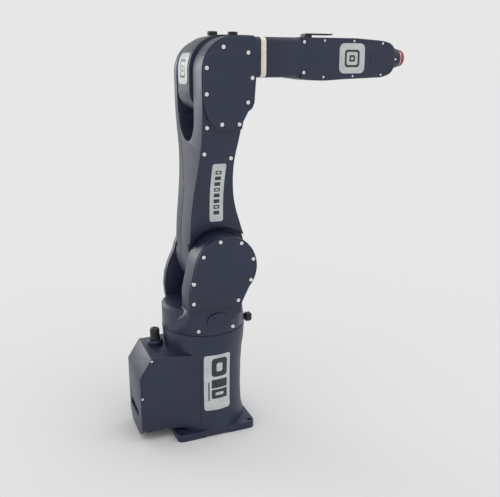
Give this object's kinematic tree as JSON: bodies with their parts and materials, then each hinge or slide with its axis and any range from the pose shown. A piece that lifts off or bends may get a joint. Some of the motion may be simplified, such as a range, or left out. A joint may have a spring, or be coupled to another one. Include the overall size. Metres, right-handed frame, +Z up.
{
  "type": "six-axis desktop robot arm",
  "caption": "Dark blue bench robot arm with a round base column, a boxed connector housing at its back, a tall forked upper arm and a slim forearm ending in a small tool flange.",
  "frame": {"origin": "on the first joint's axis, at the underside of the base", "axes": "+Z up along the first joint's axis; +X the way the forearm points at rest; the large side covers and the labels face -Y"},
  "size_m": [0.751, 0.2353, 0.997],
  "materials": {
    "navy_paint": "satin",
    "black_plastic": "matte",
    "label_plate": "satin",
    "circuit_board": "matte",
    "motor_black": "satin",
    "steel": "satin",
    "aluminium": "satin",
    "rubber": "matte",
    "cream_plastic": "satin",
    "red_plastic": "satin"
  },
  "bodies": {
    "base": {"base_casting": "navy_paint", "rear_cover": "navy_paint", "main_connector": "black_plastic", "connector_base": "navy_paint", "connector_cap": "black_plastic", "column_label": "label_plate", "bottom_cover": "navy_paint", "interface_board": "circuit_board", "j1_motor": "motor_black", "j1_reducer": "steel", "j1_stop_block": "black_plastic"},
    "waist": {"waist_casting": "navy_paint", "near_shoulder_cover": "navy_paint", "far_shoulder_cover": "navy_paint", "waist_inspection_cover": "navy_paint", "j2_reducer": "steel", "j1_seal_ring": "rubber", "j1_output_flange": "steel", "j2_motor": "motor_black", "j2_far_bearing": "steel"},
    "upper_arm": {"upper_arm_casting": "navy_paint", "far_arm_plate": "navy_paint", "near_elbow_cover": "navy_paint", "arm_label": "label_plate", "j2_output_flange": "steel", "j2_far_shaft": "steel", "j3_motor": "motor_black", "j3_reducer": "steel", "j3_far_bearing": "steel", "far_elbow_cover": "navy_paint", "arm_cable_bundle": "rubber"},
    "elbow": {"elbow_housing": "navy_paint", "elbow_badge": "label_plate", "elbow_plug_rear": "black_plastic", "elbow_plug_front": "black_plastic", "j3_output_flange": "steel", "j3_far_shaft": "steel", "j4_motor": "motor_black", "j4_reducer": "steel", "j4_ring": "cream_plastic"},
    "forearm": {"forearm_casting": "navy_paint", "near_wrist_cover": "navy_paint", "far_wrist_cover": "navy_paint", "cable_bracket": "black_plastic", "j5_belt": "rubber", "wrist_badge": "label_plate", "j4_output_flange": "steel", "j5_motor": "motor_black", "j5_far_bearing": "steel"},
    "j5_pulley": {"j5_drive_pulley": "aluminium"},
    "wrist": {"wrist_body": "navy_paint", "j5_driven_pulley": "aluminium", "j6_motor": "motor_black", "j6_reducer": "steel"},
    "flange": {"tool_flange": "steel", "flange_ring": "red_plastic"}
  },
  "joints": [
    {"name": "j1_base_turn", "type": "hinge", "parent": "base", "child": "waist", "pos_m": [0, 0, 0.279], "axis": [0, 0, 1], "range_deg": [-170, 170]},
    {"name": "j2_shoulder", "type": "hinge", "parent": "waist", "child": "upper_arm", "pos_m": [0.027, 0, 0.45], "axis": [0, 1, 0], "range_deg": [-50, 75]},
    {"name": "j3_elbow", "type": "hinge", "parent": "upper_arm", "child": "elbow", "pos_m": [0.027, 0, 0.904], "axis": [0, -1, 0], "range_deg": [-65, 150]},
    {"name": "j4_forearm_roll", "type": "hinge", "parent": "elbow", "child": "forearm", "pos_m": [0.1565, 0, 0.939], "axis": [1, 0, 0], "range_deg": [-190, 190]},
    {"name": "j5_wrist_pitch", "type": "hinge", "parent": "forearm", "child": "wrist", "pos_m": [0.465, 0, 0.939], "axis": [0, 1, 0], "range_deg": [-115, 115]},
    {"name": "j5_drive_spin", "type": "hinge", "parent": "forearm", "child": "j5_pulley", "pos_m": [0.348, 0, 0.939], "axis": [0, 1, 0], "range_deg": [-115, 115]},
    {"name": "j6_flange_roll", "type": "hinge", "parent": "wrist", "child": "flange", "pos_m": [0.563, 0, 0.939], "axis": [1, 0, 0], "range_deg": [-360, 360]}
  ],
  "couplings": [
    {"joint": "j5_drive_spin", "follows": "j5_wrist_pitch", "ratio": 1}
  ]
}
